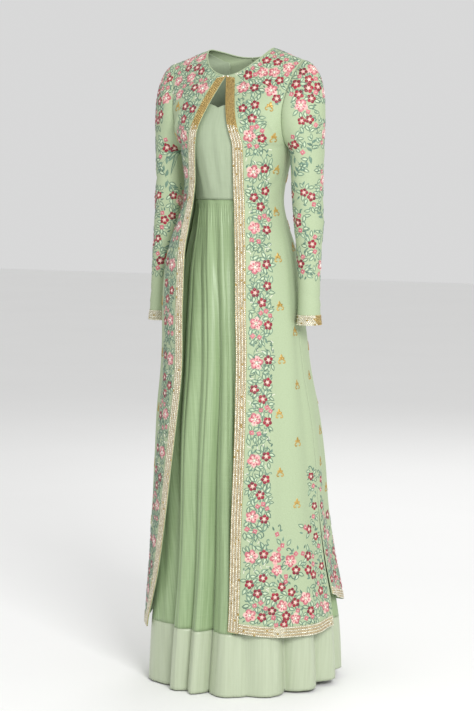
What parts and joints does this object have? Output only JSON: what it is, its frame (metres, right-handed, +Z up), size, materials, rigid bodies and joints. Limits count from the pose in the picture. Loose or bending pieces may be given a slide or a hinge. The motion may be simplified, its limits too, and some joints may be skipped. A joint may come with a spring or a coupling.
{
  "type": "anarkali gown with open-front jacket",
  "caption": "Floor-length gown with fitted bodice, folded skirt and satin hem band, under a long open-front jacket with set-in sleeves, side slits and beaded edges; worn form, empty.",
  "frame": {"origin": "middle of the shoulder line, where the wearer's shoulders hold the garment up", "axes": "+Z up the body; the wearer faces -Y; +X is the wearer's left"},
  "size_m": [0.4536, 0.4373, 1.3925],
  "materials": {
    "gown_silk": "soft silk with a fine slub, pale green",
    "gown_satin": "smooth satin, light green",
    "jacket_crepe": "matte crepe, light green, embroidered",
    "gold_beading": "rows of gold beads and sequins"
  },
  "bodies": {
    "root": {"gown_bodice_back": "gown_silk", "gown_bodice_front": "gown_silk", "gown_hem_band_back": "gown_satin", "gown_hem_band_front": "gown_satin", "gown_skirt_back": "gown_silk", "gown_skirt_front": "gown_silk", "jacket_back": "jacket_crepe", "jacket_cuff_left": "gold_beading", "jacket_cuff_right": "gold_beading", "jacket_edge_band_left": "gold_beading", "jacket_edge_band_right": "gold_beading", "jacket_front_left": "jacket_crepe", "jacket_front_right": "jacket_crepe", "jacket_hem_band_back": "gold_beading", "jacket_hem_band_left": "gold_beading", "jacket_hem_band_right": "gold_beading", "jacket_neck_binding": "jacket_crepe", "jacket_sleeve_left": "jacket_crepe", "jacket_sleeve_right": "jacket_crepe"}
  },
  "joints": []
}
